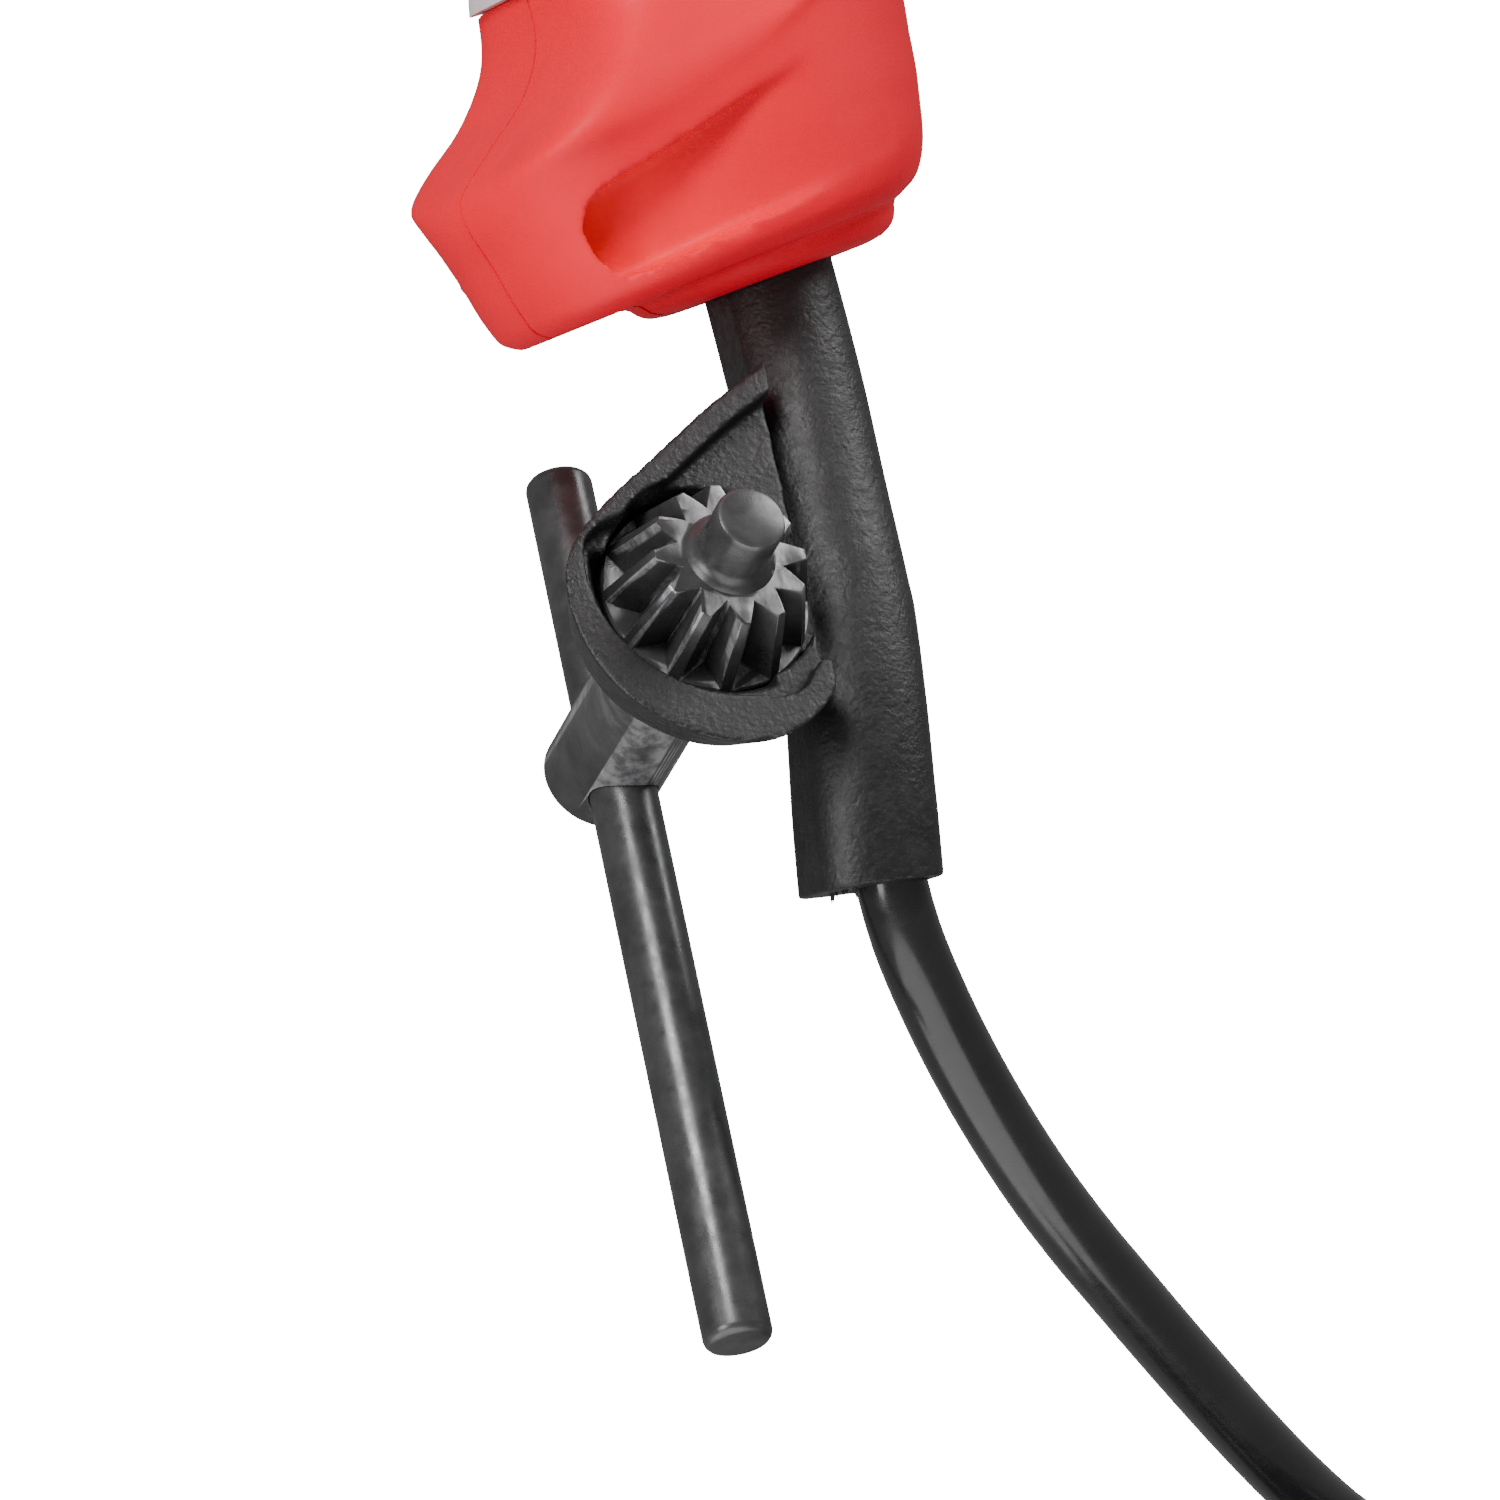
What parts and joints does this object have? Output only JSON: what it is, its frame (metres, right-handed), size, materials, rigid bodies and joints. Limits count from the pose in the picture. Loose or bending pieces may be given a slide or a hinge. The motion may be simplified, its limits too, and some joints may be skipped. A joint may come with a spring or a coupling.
{
  "type": "corded drill",
  "caption": "Pistol-grip corded drill with a keyed chuck, a trigger switch, a rubber cord guard that holds the chuck key, and a coiled mains lead.",
  "frame": {"origin": "on the flat rest pad of the motor housing's right side, below the motor", "axes": "+X rearward along the barrel, +Y the drill's up, +Z towards its left side; the drill lies on its right side"},
  "size_m": [0.363, 0.4635, 0.074],
  "materials": {
    "red": "fine spark texture",
    "pale_grip": "matte soft grip",
    "rubber": "matte, fine grain",
    "cord": "glossy extruded sheath",
    "black_steel": "oiled black oxide",
    "steel": "machined",
    "alloy": "cast, satin",
    "copper": "enamelled windings",
    "brass": "stamped",
    "carbon": "pressed carbon",
    "black_plastic": "satin moulded",
    "laminations": "stacked sheet steel"
  },
  "bodies": {
    "housing": {"housing_left": "red", "housing_right": "red", "front_grip": "pale_grip", "gear_case": "alloy", "bearing_plate": "alloy", "gear_case_screw_1": "steel", "gear_case_screw_2": "steel", "gear_case_screw_3": "steel", "gear_case_screw_4": "steel", "housing_screw_1": "steel", "housing_screw_2": "steel", "housing_screw_3": "steel", "housing_screw_4": "steel", "housing_screw_5": "steel", "housing_screw_6": "steel", "stator_core": "laminations", "field_coil_front": "copper", "field_coil_rear": "copper", "brush_holder_upper": "brass", "brush_holder_lower": "brass", "carbon_brush_upper": "carbon", "carbon_brush_lower": "carbon", "spindle_rear_bush": "brass", "spindle_front_bearing": "steel", "motor_front_bearing": "steel", "motor_rear_bearing": "steel", "switch_body": "black_plastic", "cord_clamp": "black_plastic", "cord_clamp_screw_1": "steel", "cord_clamp_screw_2": "steel", "cord_guard": "rubber", "cord_lead": "cord", "cord_coil": "cord", "coil_tie": "black_plastic", "cord_tail": "cord", "plug_strain_relief": "rubber", "plug_body": "rubber", "plug_pin_1": "brass", "plug_pin_2": "brass"},
    "spindle": {"spindle": "steel", "spindle_gear": "steel", "chuck_body": "black_steel"},
    "armature": {"armature_shaft": "steel", "motor_pinion": "steel", "armature_core": "laminations", "armature_winding_front": "copper", "armature_winding_rear": "copper", "commutator": "copper", "cooling_fan": "black_plastic"},
    "chuck_sleeve": {"chuck_sleeve": "black_steel", "chuck_nut": "steel"},
    "jaw_1": {"jaw_1": "steel"},
    "jaw_2": {"jaw_2": "steel"},
    "jaw_3": {"jaw_3": "steel"},
    "trigger": {"trigger": "black_plastic"},
    "speed_dial": {"speed_dial": "black_plastic"},
    "lock_button": {"lock_button": "black_plastic"},
    "reverse_lever": {"reverse_lever": "black_plastic"},
    "chuck_key": {"chuck_key": "black_steel", "key_bar": "black_steel"}
  },
  "joints": [
    {"name": "spindle_spin", "type": "hinge", "parent": "housing", "child": "spindle", "pos_m": [0, 0.014, 0.037], "axis": [1, 0, 0], "continuous": true},
    {"name": "armature_spin", "type": "hinge", "parent": "housing", "child": "armature", "pos_m": [0, -0.004, 0.037], "axis": [1, 0, 0], "continuous": true},
    {"name": "sleeve_turn", "type": "hinge", "parent": "spindle", "child": "chuck_sleeve", "pos_m": [-0.137, 0.014, 0.037], "axis": [1, 0, 0], "range_deg": [0, 3600]},
    {"name": "jaw_1_slide", "type": "slide", "parent": "spindle", "child": "jaw_1", "axis": [0.9659, 0.2588, 0], "range_m": [0, 0.02]},
    {"name": "jaw_2_slide", "type": "slide", "parent": "spindle", "child": "jaw_2", "axis": [0.9659, -0.1294, -0.2241], "range_m": [0, 0.02]},
    {"name": "jaw_3_slide", "type": "slide", "parent": "spindle", "child": "jaw_3", "axis": [0.9659, -0.1294, 0.2241], "range_m": [0, 0.02]},
    {"name": "trigger_pull", "type": "slide", "parent": "housing", "child": "trigger", "axis": [0.9703, 0.2419, 0], "range_m": [0, 0.006], "stiffness_N_per_m": 900, "springref_m": -0.004},
    {"name": "speed_dial_turn", "type": "hinge", "parent": "trigger", "child": "speed_dial", "pos_m": [-0.00684, -0.06368, 0.037], "axis": [0, 0, 1], "range_deg": [-150, 150]},
    {"name": "lock_button_press", "type": "slide", "parent": "housing", "child": "lock_button", "axis": [0, 0, -1], "range_m": [0, 0.0025], "stiffness_N_per_m": 500, "springref_m": -0.002},
    {"name": "reverse_lever_swing", "type": "hinge", "parent": "housing", "child": "reverse_lever", "pos_m": [0.0086, -0.03881, 0.037], "axis": [-0.2419, 0.9703, 0], "range_deg": [-8, 8]},
    {"name": "key_spin", "type": "hinge", "parent": "housing", "child": "chuck_key", "pos_m": [0.0248, -0.1951, 0.06005], "axis": [-0.126, 0.376, 0.918], "range_deg": [-100, 25]}
  ],
  "couplings": [
    {"joint": "armature_spin", "follows": "spindle_spin", "ratio": -5},
    {"joint": "jaw_1_slide", "follows": "sleeve_turn", "m_per_rad": 0.00031831},
    {"joint": "jaw_2_slide", "follows": "sleeve_turn", "m_per_rad": 0.00031831},
    {"joint": "jaw_3_slide", "follows": "sleeve_turn", "m_per_rad": 0.00031831}
  ]
}
